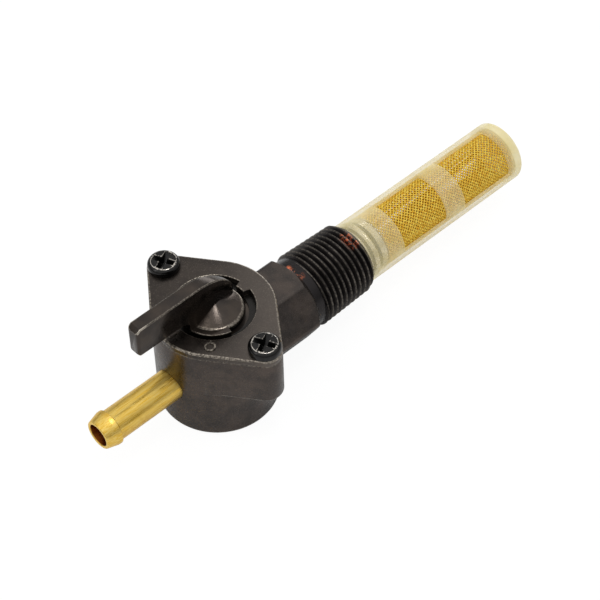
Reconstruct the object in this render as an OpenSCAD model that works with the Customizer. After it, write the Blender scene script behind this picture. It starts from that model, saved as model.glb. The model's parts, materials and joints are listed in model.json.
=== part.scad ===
// Gravity fuel tap with a lever, a tapered tank thread and an in-tank filter.
// The inlet nose and its filter point along +X, and the hose spigot points along
// -X. The lever turns about an upright axis, parallel to +Z. The origin lies on
// the pipe axis at the large end of the tank thread, where the tank's bung stops.
// The modules draw from the point where the lever axis crosses the pipe axis, and
// from_lever_axis() moves them into the part's frame. All sizes are in millimetres.

/* [Body casting] */
// Radius of the round part of the body
body_r = 13; // [12.8:0.1:13.4]
// Height of the body top above the pipe axis, without the cover
body_top = 12.5; // [12.4:0.1:12.8]
// Depth of the body bottom below the pipe axis
body_depth = 11.5; // [9:0.5:13]
// Distance between the two screws
screw_spacing = 31; // [30.6:0.1:33]
// Radius of each screw ear
ear_r = 3.6; // [3.5:0.1:4.2]
// Height of the flat underside of the ears above the pipe axis
ear_bottom = 1.5; // [1:0.1:3]

/* [Cover and lever] */
// Thickness of the cover plate
cover_t = 1.5; // [1.3:0.1:1.8]
// Radius of the opening in the cover
opening_r = 8.7; // [8.6:0.05:8.8]
// Length of the lever from its axis to its tip
lever_length = 20.6; // [18:0.2:24]
// Height of the lever's top edge above the cover
lever_rise = 9.9; // [9.1:0.2:10.5]
// Thickness of the lever blade
lever_t = 3.1; // [2.8:0.1:3.4]
// Radius of the round boss on top of the rotor
boss_r = 6.5; // [6.3:0.1:6.6]

/* [Hose spigot] */
// Radius of the brass spigot
spigot_r = 3.5; // [3.3:0.05:3.55]
// Distance of the spigot tip from the lever axis
spigot_reach = 32; // [30:0.5:36]
// Radius of the barb that holds the hose
barb_r = 3.95; // [3.8:0.05:4.1]

/* [Tank thread] */
// Width of the hexagon across its flats
hex_flats = 17.2; // [16.8:0.1:17.4]
// Thread crest radius at the hexagon end
thread_r = 8.65; // [8.5:0.05:8.7]
// Distance between thread crests, 18 to the inch
thread_pitch = 1.411; // [1.411]
// Depth of the thread
thread_depth = 1; // [0.9:0.05:1.1]

/* [Filter] */
// Outer radius of the filter frame
filter_r = 7.2; // [7.1:0.05:7.4]
// Distance of the filter's closed end from the lever axis
filter_end = 86.2; // [84:0.2:92]
// Distance of the standpipe's open end from the lever axis
standpipe_end = 78; // [72:0.5:80]

/* [Hidden] */
$fn = 96;

// Finishes
black_nickel = [0.29, 0.26, 0.25];
bright_black = [0.16, 0.15, 0.15];
brass = [0.80, 0.62, 0.25];
nylon = [0.78, 0.72, 0.60];
nitrile = [0.10, 0.10, 0.11];
spring_steel = [0.66, 0.67, 0.69];

// Levels along the lever axis
cover_top = body_top + cover_t;
chamber_floor = 4.6;
gasket_t = 2;
rotor_bottom = chamber_floor + gasket_t + 0.02;
rotor_top = 11.95;
boss_top = cover_top + 0.05;
boss_crown = cover_top + 2.2;
lug_bottom = body_top + 0.06;
lug_top = cover_top - 0.15;
lever_under = cover_top + 2.5;
lever_top = cover_top + lever_rise;

// Rotor and the chamber that it turns in
chamber_r = 9.8;
rotor_r = chamber_r - 0.06;
lug_r = opening_r - 1.15;
lug_half_angle = 77;
ring_groove_r = 8;
ring_section = 1.77;
ring_z = 9.2;

// Fluid passages
passage_r = 1.5;
passage_y = 3.4;
port_x = -passage_y;
rotor_channel_t = 3.2;
rotor_channel_depth = 2;
locating_peg_x = 5.6;
locating_peg_r = 1;
spigot_socket = 5.2;

// Hexagon, thread and nose along the pipe axis
hex_start = 9;
hex_end = 21.8;
hex_chamfer = 1.4;
collar_r = 8.1;
thread_start = 24.3;
thread_end = 38.9;
taper = 1 / 32;
nose_r = 6.2;
nose_end = 44.5;
snap_ridge_r = 6.7;
snap_ridge_x = 41.3;
standpipe_r = 2.4;
standpipe_bore_r = 1.6;
socket_length = 8;
body_wall_x = 13.2;

// Filter
mesh_r = 6.28;
mesh_t = 0.2;
frame_inner_r = 6.3;
window_edges = [48.5, 62.2, 67.5, 82.4];
window_half_angle = 59;
window_angle = 124;
end_disc_t = 1.2;

// Screws, size M4, with their holes in the body and the cover
screw_r = 1.96;
screw_core_r = 1.6;
screw_pitch = 0.7;
screw_length = 9.6;
tapped_hole_r = 2;
tapped_hole_depth = 9.1;
cover_hole_r = 2.15;
head_r = 3.45;
head_h = 2.1;
head_round = 1.2;

// Moves a piece drawn from the lever axis into the part's frame
module from_lever_axis() {
    translate([-thread_start, 0, 0]) children();
}

// Cylinder or cone along the pipe axis, from x0 to x1
module pipe(x0, x1, r0, r1 = -1, y = 0) {
    translate([x0, y, 0]) rotate([0, 90, 0])
        cylinder(h = x1 - x0, r1 = r0, r2 = r1 < 0 ? r0 : r1);
}

// Solid turned about the pipe axis, from an outline of [radius, x] points
module turned_on_pipe() {
    rotate([0, 90, 0]) rotate_extrude() children();
}

// Half outline of a disc whose top or bottom rim is rounded
module rounded_disc_half(r, z0, z1, top_round, bottom_round) {
    intersection() {
        translate([0, z0]) square([r, z1 - z0]);
        union() {
            translate([0, z0]) square([r - max(top_round, bottom_round), z1 - z0]);
            translate([0, z0 + bottom_round])
                square([r, z1 - z0 - top_round - bottom_round]);
            if (top_round > 0) translate([r - top_round, z1 - top_round]) circle(r = top_round);
            if (bottom_round > 0) translate([r - bottom_round, z0 + bottom_round])
                circle(r = bottom_round);
        }
    }
}

// Round centre with two ears, joined by straight flanks that touch both circles
module eared_outline() {
    reach = screw_spacing / 2;
    tangent = acos((body_r - ear_r) / reach);
    circle(r = body_r);
    for (side = [-1, 1]) {
        translate([0, side * reach]) circle(r = ear_r);
        polygon([
            for (flank = [-1, 1]) [flank * body_r * sin(tangent), side * body_r * cos(tangent)],
            for (flank = [1, -1])
                [flank * ear_r * sin(tangent), side * (reach + ear_r * cos(tangent))]
        ]);
    }
}

// Both screw places
module at_screws() {
    for (side = [-1, 1]) translate([0, side * screw_spacing / 2, 0]) children();
}

// Sector of a disc, centred on the direction of the given angle
module sector(r, half_angle, angle) {
    reach = 2 * r;
    intersection() {
        circle(r = r);
        rotate(angle) polygon([
            [0, 0],
            for (a = [-half_angle, -half_angle / 2, 0, half_angle / 2, half_angle])
                [reach * cos(a), reach * sin(a)]
        ]);
    }
}

// Ring-shaped thread ridges on a tapered core
function crest_r(x) = thread_r - (x - thread_start - thread_pitch) * taper;
module tank_thread() {
    flank = thread_depth * tan(30);
    crest_half = (thread_pitch - 2 * flank) / 4;
    turns = floor((thread_end - thread_start - 0.4) / thread_pitch);
    turned_on_pipe() polygon([
        [0, thread_start - 0.5],
        [crest_r(thread_start) - thread_depth, thread_start - 0.5],
        for (turn = [0 : turns - 1])
            let (x = thread_start + (turn + 0.5) * thread_pitch, crest = crest_r(x))
            for (p = [[-flank - crest_half, thread_depth], [-crest_half, 0],
                      [crest_half, 0], [flank + crest_half, thread_depth]])
                [crest - p[1], x + p[0]],
        [crest_r(thread_end) - thread_depth, thread_end],
        [0, thread_end]
    ]);
}

// Nose that the filter snaps onto, with its rounded ridge
module nose() {
    pipe(thread_end - 0.5, nose_end, nose_r);
    turned_on_pipe() intersection() {
        translate([nose_r - 0.6, snap_ridge_x]) circle(r = snap_ridge_r - nose_r + 0.6, $fn = 48);
        translate([nose_r - 1, snap_ridge_x - 2]) square([3, 4]);
    }
}

// Hexagon with its outer corners turned off at the thread end
module wrench_hexagon() {
    corner_r = hex_flats / 2 / cos(30);
    intersection() {
        translate([hex_start, 0, 0]) rotate([0, 90, 0]) rotate(30)
            cylinder(h = hex_end - hex_start, r = corner_r, $fn = 6);
        union() {
            pipe(hex_start, hex_end - hex_chamfer, corner_r + 1);
            pipe(hex_end - hex_chamfer, hex_end, corner_r + 0.01, collar_r);
        }
    }
}

// Die-cast body: chamber, screw ears, hexagon, thread and passages
module valve_body() {
    color(black_nickel) from_lever_axis() {
        difference() {
            body_solid();
            // Chamber for the gasket and the rotor
            translate([0, 0, chamber_floor]) cylinder(h = body_top, r = chamber_r);
            // Ports in the chamber floor: outlet, main supply and reserve
            port_pattern() cylinder(h = body_top, r = passage_r);
            // Main and reserve passages from the nose, and the standpipe's socket
            for (side = [-1, 1])
                pipe(port_x - passage_r, nose_end + 1, passage_r, y = side * passage_y);
            pipe(nose_end - socket_length, nose_end + 1, standpipe_r, y = -passage_y);
            // Outlet passage and the spigot's socket
            pipe(-body_r, 0, passage_r);
            pipe(-body_r - 1, spigot_socket - body_wall_x, spigot_r);
            // Tapped holes for the cover screws
            at_screws() translate([0, 0, body_top - tapped_hole_depth])
                cylinder(h = body_top, r = tapped_hole_r, $fn = 48);
        }
        // Peg that keeps the gasket from turning
        translate([locating_peg_x, 0, chamber_floor - 0.5])
            cylinder(h = gasket_t, r = locating_peg_r, $fn = 48);
    }
}

module body_solid() {
    bottom_round = 0.8;
    rotate_extrude() rounded_disc_half(body_r, -body_depth, body_top, 0, bottom_round);
    translate([0, 0, ear_bottom]) linear_extrude(body_top - ear_bottom) eared_outline();
    wrench_hexagon();
    pipe(hex_end - 1, thread_start + 0.3, collar_r);
    tank_thread();
    nose();
}

// The outlet port on the axis, and the main and reserve ports beside it
module port_pattern() {
    children();
    for (side = [-1, 1]) translate([port_x, side * passage_y, 0]) children();
}

// Cover plate that holds the rotor in, with the lever's stop and position marks
module cover_plate() {
    color(black_nickel) from_lever_axis() difference() {
        union() {
            translate([0, 0, body_top]) linear_extrude(cover_t) difference() {
                eared_outline();
                circle(r = opening_r);
            }
            translate([0, 0, body_top]) linear_extrude(cover_t) stop_tab();
            position_marks();
        }
        at_screws() translate([0, 0, body_top - 1])
            cylinder(h = cover_t + 2, r = cover_hole_r, $fn = 48);
    }
}

// Tab that the rotor's lug meets at either end of its travel
module stop_tab() {
    tab_r = boss_r + 0.75;
    polygon([[opening_r + 0.5, -1.6], [opening_r - 0.3, -1.5], [tab_r, -1.1],
             [tab_r, 1.1], [opening_r - 0.3, 1.5], [opening_r + 0.5, 1.6]]);
}

// Raised marks: a ring for closed, a bar for open and a wedge for reserve
module position_marks() {
    mark_r = 10.7;
    mark_h = 0.25;
    translate([0, 0, cover_top - 0.1]) linear_extrude(mark_h + 0.1) {
        rotate(225) translate([mark_r, 0]) difference() {
            circle(r = 1.2, $fn = 48);
            circle(r = 0.75, $fn = 48);
        }
        rotate(180) translate([mark_r - 1.2, -0.3]) square([2.4, 0.6]);
        rotate(135) translate([mark_r, 0]) polygon([[-1.1, -0.9], [1.1, 0], [-1.1, 0.9]]);
    }
}

// Cross-recessed pan head screw that stands at its place on the cover
module cover_screw() {
    head_top = cover_top + head_h;
    difference() {
        union() {
            rotate_extrude() rounded_disc_half(head_r, cover_top, head_top, head_round, 0);
            translate([0, 0, cover_top - screw_length]) screw_thread();
        }
        cross_recess(head_top);
    }
}

// Shank with ring-shaped thread ridges, from its point at z = 0 up to the head
module screw_thread() {
    ridges = floor(screw_length / screw_pitch) - 2;
    ridge_half = 0.4 * screw_pitch;
    plain_start = (ridges + 1) * screw_pitch;
    cylinder(h = screw_length + 0.1, r = screw_core_r, $fn = 48);
    for (ridge = [1 : ridges])
        translate([0, 0, ridge * screw_pitch]) {
            translate([0, 0, -ridge_half])
                cylinder(h = ridge_half, r1 = screw_core_r, r2 = screw_r, $fn = 48);
            cylinder(h = ridge_half, r1 = screw_r, r2 = screw_core_r, $fn = 48);
        }
    translate([0, 0, plain_start])
        cylinder(h = screw_length - plain_start + 0.1, r = screw_r, $fn = 48);
}

// Cross recess that narrows towards its bottom
module cross_recess(top) {
    depth = 1.7;
    arm = 2.3;
    arm_root = 0.8;
    arm_t = 1;
    for (turn = [0, 90])
        rotate(turn) rotate([90, 0, 0]) linear_extrude(height = arm_t, center = true)
            polygon([[-arm, top + 0.1], [-arm_root, top - depth],
                     [arm_root, top - depth], [arm, top + 0.1]]);
    translate([0, 0, top - depth]) cylinder(h = depth + 0.1, r1 = 0.7, r2 = 1.1, $fn = 48);
}

module cover_screws() {
    color(bright_black) from_lever_axis() at_screws() rotate(25) cover_screw();
}

// Lever, rotor and stop lug in one casting
module lever() {
    color(black_nickel) from_lever_axis() difference() {
        union() {
            rotate_extrude() rotor_half();
            translate([0, 0, lug_bottom])
                linear_extrude(lug_top - lug_bottom) sector(lug_r, lug_half_angle, 180);
            lever_blade();
        }
        // Channel under the rotor that joins the outlet port to the chosen inlet port
        translate([0, 0, rotor_bottom - 1])
            linear_extrude(rotor_channel_depth + 1) rotate(225) rotor_channel();
    }
}

// Round-ended slot from the outlet port to an inlet port
module rotor_channel() {
    reach = norm([port_x, passage_y]);
    translate([0, -rotor_channel_t / 2]) square([reach, rotor_channel_t]);
    for (x = [0, reach]) translate([x, 0]) circle(d = rotor_channel_t, $fn = 48);
}

// Half outline of the rotor: drum with the seal groove, and the cone-topped boss above it
module rotor_half() {
    groove_h = ring_section + 0.25;
    difference() {
        translate([0, rotor_bottom]) square([rotor_r, rotor_top - rotor_bottom]);
        translate([ring_groove_r, ring_z - groove_h / 2]) square([3, groove_h]);
    }
    rim_round = 0.8;
    rounded_disc_half(boss_r, rotor_top - 1, boss_top, rim_round, 0);
    polygon([[0, boss_top - 0.1], [boss_r - rim_round, boss_top - 0.1],
             [boss_r - rim_round, boss_top], [1, boss_crown], [0, boss_crown]]);
}

// Blade of the lever: its side view limited to its plan view
module lever_blade() {
    intersection() {
        rotate([90, 0, 0]) linear_extrude(height = 10, center = true) blade_side();
        translate([0, 0, boss_top - 2]) linear_extrude(30) blade_plan();
    }
}

// Side view of the blade: bent root, straight underside, chamfered tip and rounded crest
module blade_side() {
    crest_round = 11.4;
    crest_x = -5.2;
    tip_chamfer = 0.9;
    root = boss_top - 1;
    difference() {
        polygon([
            [-lever_length, lever_under + 0.5], [-lever_length + 0.5, lever_under],
            [-boss_r - 2.4, lever_under], [-boss_r - 1, lever_under - 1], [-boss_r - 1, root],
            [boss_r - 1, root], [boss_r - 1, lever_top], [-lever_length + tip_chamfer, lever_top],
            [-lever_length, lever_top - tip_chamfer]
        ]);
        // Crest that rounds down towards the boss
        translate([crest_x, root]) difference() {
            square([30, 30]);
            translate([0, lever_top - crest_round - root]) circle(r = crest_round, $fn = 192);
        }
    }
}

// Straight blade with rounded tip corners, and a nose between two arcs
module blade_plan() {
    edge = 0.6;
    half = lever_t / 2;
    nose_start = -6;
    nose_length = 11.3;
    nose_round = (pow(nose_length, 2) + pow(half, 2)) / lever_t;
    translate([edge - lever_length, -half]) square([lever_length - edge + nose_start, lever_t]);
    translate([-lever_length, edge - half]) square([2 * edge, lever_t - 2 * edge]);
    for (side = [-1, 1])
        translate([edge - lever_length, side * (half - edge)]) circle(r = edge, $fn = 48);
    intersection() {
        translate([nose_start, half - nose_round]) circle(r = nose_round, $fn = 360);
        translate([nose_start, nose_round - half]) circle(r = nose_round, $fn = 360);
        translate([nose_start - 0.1, -half]) square([nose_length + 1, lever_t]);
    }
}

// Seal ring in the rotor's groove
module rotor_o_ring() {
    color(nitrile) from_lever_axis() translate([0, 0, ring_z]) rotate_extrude()
        translate([ring_groove_r + 0.015 + ring_section / 2, 0])
            circle(d = ring_section, $fn = 48);
}

// Rubber seat that the rotor slides on
module seat_gasket() {
    color(nitrile) from_lever_axis()
        translate([0, 0, chamber_floor]) linear_extrude(gasket_t) difference() {
            circle(r = chamber_r - 0.1);
            port_pattern() circle(r = passage_r + 0.1, $fn = 48);
            translate([locating_peg_x, 0]) circle(r = locating_peg_r + 0.05, $fn = 48);
        }
}

// Wavy ring that presses the rotor onto its seat
module wave_spring() {
    inner = boss_r + 0.7;
    outer = chamber_r - 0.2;
    strip_t = 0.3;
    play = 0.04;
    gap = body_top - rotor_top - 2 * play;
    steps = 72;
    waves = 3;
    swing = (gap - strip_t) / 2;
    function level(i) = rotor_top + play + swing * (1 + cos(waves * i * 360 / steps));
    points = [
        for (i = [0 : steps - 1]) let (a = i * 360 / steps)
            for (c = [[inner, 0], [outer, 0], [outer, strip_t], [inner, strip_t]])
                [c[0] * cos(a), c[0] * sin(a), level(i) + c[1]]
    ];
    faces = [
        for (i = [0 : steps - 1], k = [0 : 3])
            let (a = 4 * i, b = 4 * ((i + 1) % steps), n = (k + 1) % 4)
            for (f = [[a + k, b + k, b + n], [a + k, b + n, a + n]]) f
    ];
    color(spring_steel) from_lever_axis() polyhedron(points, faces);
}

// Brass hose spigot with one barb near its tip
module outlet_spigot() {
    bore = 2.5;
    barb_x = spigot_reach - 3.5;
    barb_land = 1;
    tip_r = 3.3;
    edge = 0.3;
    root_x = body_wall_x - spigot_socket;
    color(brass) from_lever_axis() turned_on_pipe() polygon([
        [bore, edge - spigot_reach], [bore + edge, -spigot_reach],
        [tip_r - edge, -spigot_reach], [tip_r, edge - spigot_reach],
        [barb_r, -barb_x - barb_land], [barb_r, -barb_x], [spigot_r, 0.1 - barb_x],
        [spigot_r, -root_x], [bore, -root_x]
    ]);
}

// Brass pipe that feeds the main supply from high in the tank
module standpipe() {
    color(brass) from_lever_axis() difference() {
        pipe(nose_end - socket_length, standpipe_end, standpipe_r, y = -passage_y);
        pipe(0, standpipe_end + 1, standpipe_bore_r, y = -passage_y);
    }
}

// Moulded filter frame: collar, two rows of windows and a closed end
module filter_frame() {
    color(nylon) from_lever_axis() difference() {
        turned_on_pipe() difference() {
            translate([0, thread_end + 0.05]) square([filter_r, filter_end - thread_end - 0.05]);
            translate([-1, thread_end - 1])
                square([1 + frame_inner_r, filter_end - end_disc_t - thread_end + 1]);
            translate([0, thread_end - 1]) square([nose_r + 0.25, nose_end - thread_end + 1.1]);
            translate([nose_r - 0.6, snap_ridge_x])
                circle(r = snap_ridge_r - nose_r + 0.65, $fn = 48);
        }
        for (row = [0, 2], side = [0, 180])
            translate([window_edges[row], 0, 0]) rotate([90, 0, 90])
                linear_extrude(window_edges[row + 1] - window_edges[row])
                    sector(filter_r + 2, window_half_angle, window_angle + side);
    }
}

// Sleeve of woven brass gauze inside the frame
module filter_mesh() {
    color(brass) from_lever_axis() difference() {
        pipe(nose_end + 0.3, filter_end - end_disc_t - 0.1, mesh_r);
        pipe(nose_end - 1, filter_end, mesh_r - mesh_t);
    }
}

valve_body();
cover_plate();
cover_screws();
lever();
rotor_o_ring();
seat_gasket();
wave_spring();
outlet_spigot();
standpipe();
filter_frame();
filter_mesh();
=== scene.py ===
"""Looks of the gravity fuel tap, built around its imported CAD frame.

Shapes are drawn in millimetres from the point where the lever axis meets the pipe
axis, as the CAD modules draw them, and place() moves them into the part's frame.
Main sizes come from the CAD nodes' boxes. Angles round the pipe start at +Z and
turn towards -Y.
"""

import json
import math

import bmesh
import bpy
from mathutils import Matrix, Vector


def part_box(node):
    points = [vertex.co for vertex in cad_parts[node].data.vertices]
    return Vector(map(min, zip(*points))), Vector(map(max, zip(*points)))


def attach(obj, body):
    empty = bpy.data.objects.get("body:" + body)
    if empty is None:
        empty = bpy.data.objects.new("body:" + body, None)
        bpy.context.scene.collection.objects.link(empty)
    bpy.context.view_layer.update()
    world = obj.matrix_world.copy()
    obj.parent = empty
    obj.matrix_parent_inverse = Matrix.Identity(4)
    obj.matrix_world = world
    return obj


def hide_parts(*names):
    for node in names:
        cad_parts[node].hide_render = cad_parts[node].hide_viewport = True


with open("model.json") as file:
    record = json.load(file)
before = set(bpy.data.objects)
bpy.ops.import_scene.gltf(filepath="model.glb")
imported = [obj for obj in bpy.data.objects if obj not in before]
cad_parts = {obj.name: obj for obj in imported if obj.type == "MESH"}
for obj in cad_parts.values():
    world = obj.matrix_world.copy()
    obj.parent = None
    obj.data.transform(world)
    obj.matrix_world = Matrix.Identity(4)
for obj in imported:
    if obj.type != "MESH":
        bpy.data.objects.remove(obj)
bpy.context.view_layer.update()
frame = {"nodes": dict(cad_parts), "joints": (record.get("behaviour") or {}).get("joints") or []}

MM = 0.001
MERGE_DISTANCE = 2e-6
AXIS_POINT = Vector(frame["joints"][0]["pos_m"])


def place(point):
    """A point in millimetres from the lever axis, as metres in the part's frame."""
    return Vector(point) * MM + AXIS_POINT


def span(node):
    """Lowest and highest corner of a CAD node, in millimetres from the lever axis."""
    low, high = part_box(node)
    return (low - AXIS_POINT) / MM, (high - AXIS_POINT) / MM


# ---- Sizes read from the frame, in millimetres ----

body_low, body_high = span("valve_body")
cover_high = span("cover_plate")[1]
lever_low, lever_high = span("lever")
screw_low, screw_high = span("cover_screws")
spigot_low, spigot_high = span("outlet_spigot")
filter_low, filter_high = span("filter_frame")
gauze_low, gauze_high = span("filter_mesh")
gasket_low = span("seat_gasket")[0]

BODY_R = -body_low.x
BODY_TOP = body_high.z
BODY_BOTTOM = body_low.z
EAR_R = 3.6
EAR_BOTTOM = 1.5
SCREW_Y = body_high.y - EAR_R
CHAMBER_R = 9.8
CHAMBER_FLOOR = gasket_low.z
TAPPED_HOLE_R = 2.0
TAPPED_HOLE_DEPTH = 9.1
PASSAGE_R = 1.5
PASSAGE_Y = 3.4
STANDPIPE_R = 2.4
STANDPIPE_SOCKET = 8
MARK_HEIGHT = 0.25
COVER_TOP = cover_high.z - MARK_HEIGHT
COVER_HOLE_R = 2.15
OPENING_R = 8.7
BOSS_R = 6.5
BOSS_TOP = COVER_TOP + 0.05

HEX_HALF = 8.6
HEX_CORNER = HEX_HALF / math.cos(math.pi / 6)
HEX_START = 8.6
HEX_END = 21.8
COLLAR_R = 8.1
THREAD_START = -AXIS_POINT.x / MM
THREAD_END = filter_low.x - 0.05
PITCH = 25.4 / 18
CREST_R = 8.65
THREAD_DEPTH = 1.0
TAPER = 1 / 32
NOSE_R = 6.2
NOSE_END = body_high.x
RIDGE_R = 6.7
RIDGE_X = 41.3

TUBE_R = 3.5
TUBE_BORE_R = 2.5
FRAME_R = filter_high.z
FRAME_INNER_R = 6.3
FILTER_END = filter_high.x


# ---- Mesh helpers ----

def mesh_object(name, points, faces):
    """Mesh of points in millimetres, with doubled points merged and normals facing out."""
    mesh = bpy.data.meshes.new(name)
    mesh.from_pydata([place(point) for point in points], [], faces)
    work = bmesh.new()
    work.from_mesh(mesh)
    bmesh.ops.remove_doubles(work, verts=work.verts, dist=MERGE_DISTANCE)
    bmesh.ops.dissolve_degenerate(work, edges=work.edges, dist=MERGE_DISTANCE)
    loose = [edge for edge in work.edges if not edge.link_faces]
    bmesh.ops.delete(work, geom=loose, context="EDGES")
    bmesh.ops.recalc_face_normals(work, faces=work.faces)
    work.to_mesh(mesh)
    work.free()
    piece = bpy.data.objects.new(name, mesh)
    bpy.context.scene.collection.objects.link(piece)
    return piece


def skin(name, rings, closed):
    """Quads between rings of points.

    closed joins the last ring to the first. Otherwise both ends are capped.
    """
    size = len(rings[0])
    pairs = len(rings) if closed else len(rings) - 1
    faces = []
    for ring in range(pairs):
        here = ring * size
        there = (ring + 1) % len(rings) * size
        for k in range(size):
            after = (k + 1) % size
            faces.append((here + k, here + after, there + after, there + k))
    if not closed:
        faces.append(tuple(range(size)))
        faces.append(tuple(range(len(rings) * size - size, len(rings) * size)))
    return mesh_object(name, [point for ring in rings for point in ring], faces)


def even_angles(count):
    return [2 * math.pi * k / count for k in range(count)]


def turned_about_lever(name, profile_at, angles):
    """Skin of a half outline of (radius, height) points, turned about the lever axis."""
    rings = [
        [(r * math.cos(angle), r * math.sin(angle), z) for r, z in profile_at(angle)]
        for angle in angles
    ]
    return skin(name, rings, closed=True)


def turned_about_pipe(name, profile_at, angles):
    """Skin of a half outline of (x, radius) points, turned about the pipe axis."""
    rings = [
        [(x, -r * math.sin(angle), r * math.cos(angle)) for x, r in profile_at(angle)]
        for angle in angles
    ]
    return skin(name, rings, closed=True)


def arc(centre_u, centre_v, radius, start, end, steps=5):
    """Points of an arc in a plane, with its angles in degrees."""
    turns = [math.radians(start + (end - start) * k / steps) for k in range(steps + 1)]
    return [(centre_u + radius * math.cos(t), centre_v + radius * math.sin(t)) for t in turns]


def prism(name, outlines):
    """Skin between outlines, each a list of (x, y) points and its height."""
    return skin(name, [[(x, y, z) for x, y in points] for points, z in outlines], closed=False)


def cylinder(name, radius, z0, z1, y, count=64):
    """Plain round cutter parallel to the lever axis."""
    circle = [(radius * math.cos(a), y + radius * math.sin(a)) for a in even_angles(count)]
    return prism(name, [(circle, z0), (circle, z1)])


def pipe_cutter(name, profile, y=0.0, count=64):
    """Round cutter along the pipe, through (x, radius) points."""
    rings = [
        [(x, y - r * math.sin(a), r * math.cos(a)) for a in even_angles(count)]
        for x, r in profile
    ]
    return skin(name, rings, closed=False)


def apply_modifiers(piece):
    depsgraph = bpy.context.evaluated_depsgraph_get()
    mesh = bpy.data.meshes.new_from_object(piece.evaluated_get(depsgraph))
    mesh.name = piece.name
    piece.modifiers.clear()
    piece.data = mesh


def combine(piece, operation, others):
    """Boolean union or difference of a piece with others, which are used up."""
    for other in others:
        step = piece.modifiers.new("combine", "BOOLEAN")
        step.operation = operation
        step.solver = "EXACT"
        step.object = other
    apply_modifiers(piece)
    for other in others:
        bpy.data.objects.remove(other)
    return piece


def mark_wear(piece, widest=0.2, least_turn=math.radians(13)):
    """Marks the narrow faces of rounded convex edges, where the finish rubs off."""
    work = bmesh.new()
    work.from_mesh(piece.data)
    worn = []
    for face in work.faces:
        longest = max(edge.calc_length() for edge in face.edges)
        sides = [edge for edge in face.edges if edge.calc_length() > 0.4 * longest]
        turn = max(edge.calc_face_angle_signed(0.0) for edge in sides)
        width = 2 * face.calc_area() / face.calc_perimeter() / MM
        worn.append(1.0 if width < widest and turn > least_turn else 0.0)
    work.free()
    attribute = piece.data.attributes.new("wear", "FLOAT", "FACE")
    attribute.data.foreach_set("value", worn)


def finish_piece(piece, material, body, node, sharp=32):
    """Shades a piece, gives it its material and puts it in the place of its CAD node."""
    mark_wear(piece)
    piece.data.shade_smooth()
    piece.data.set_sharp_from_angle(angle=math.radians(sharp))
    piece.data.materials.clear()
    piece.data.materials.append(material)
    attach(piece, body)
    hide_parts(node)


# ---- Body casting ----

def eared_radius(angle):
    """Radius of the round centre with two ears on Y, at an angle from +X."""
    off_ear = math.acos(min(1.0, abs(math.sin(angle))))
    tangent = math.acos((BODY_R - EAR_R) / SCREW_Y)
    ear_edge = math.atan2(
        EAR_R * math.sin(tangent), SCREW_Y + EAR_R * math.cos(tangent)
    )
    if off_ear > tangent:
        return BODY_R
    if off_ear > ear_edge:
        return BODY_R / math.cos(off_ear - tangent)
    across = SCREW_Y * math.sin(off_ear)
    return SCREW_Y * math.cos(off_ear) + math.sqrt(EAR_R**2 - across**2)


def ear_angles(count=300, crowding=0.35):
    """Angles round the body, closer together at the ears."""
    return [a + crowding * math.sin(2 * a) for a in even_angles(count)]


def body_profile(angle):
    """Half outline of the body, from the middle of its bottom to the middle of its top."""
    bottom_round = 0.8
    top_round = 0.18
    outer = eared_radius(angle)
    step = min(0.6, outer - BODY_R)
    return (
        [(0, BODY_BOTTOM)]
        + arc(BODY_R - bottom_round, BODY_BOTTOM + bottom_round, bottom_round, -90, 0)
        + [(BODY_R, EAR_BOTTOM)]
        + arc(outer - step, EAR_BOTTOM + step, step, -90, 0)
        + arc(outer - top_round, BODY_TOP - top_round, top_round, 0, 90, 3)
        + [(0, BODY_TOP)]
    )


def hexagon_radius(angle):
    """Radius of the hexagon, with its corners rounded off."""
    corner_loss = 0.2
    off_flat = (angle + math.pi / 6) % (math.pi / 3) - math.pi / 6
    return min(HEX_HALF / math.cos(off_flat), HEX_CORNER - corner_loss)


def neck_profile(angle):
    """Half outline of the hexagon with its chamfer, the collar, the thread's core and the nose."""
    chamfer_length = 1.4
    slope = (HEX_CORNER - COLLAR_R) / chamfer_length
    radius = hexagon_radius(angle)
    chamfer_x = HEX_END - chamfer_length + (HEX_CORNER - radius) / slope
    edge = 0.08
    edge_drop = 2 * edge * slope * 0.7
    corner_round = 0.3
    core = CREST_R - THREAD_DEPTH - 0.5
    core_end = THREAD_END - 0.3
    ridge_round = RIDGE_R - NOSE_R + 0.3
    ridge_half = 1
    return (
        [(HEX_START, 0), (HEX_START, radius), (chamfer_x - edge, radius)]
        + [(chamfer_x + edge, radius - edge_drop)]
        + [(HEX_END - edge, COLLAR_R + edge * slope), (HEX_END + edge, COLLAR_R)]
        + arc(THREAD_START, COLLAR_R - corner_round, corner_round, 90, 0, 4)
        + [(THREAD_START + corner_round, core), (core_end, core), (core_end, NOSE_R)]
        + [(RIDGE_X - ridge_half, NOSE_R)]
        + arc(RIDGE_X, RIDGE_R - ridge_round, ridge_round, 140, 40, 6)
        + [(RIDGE_X + ridge_half, NOSE_R)]
        + arc(NOSE_END - corner_round, NOSE_R - corner_round, corner_round, 90, 0, 3)
        + [(NOSE_END, 0)]
    )


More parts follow.
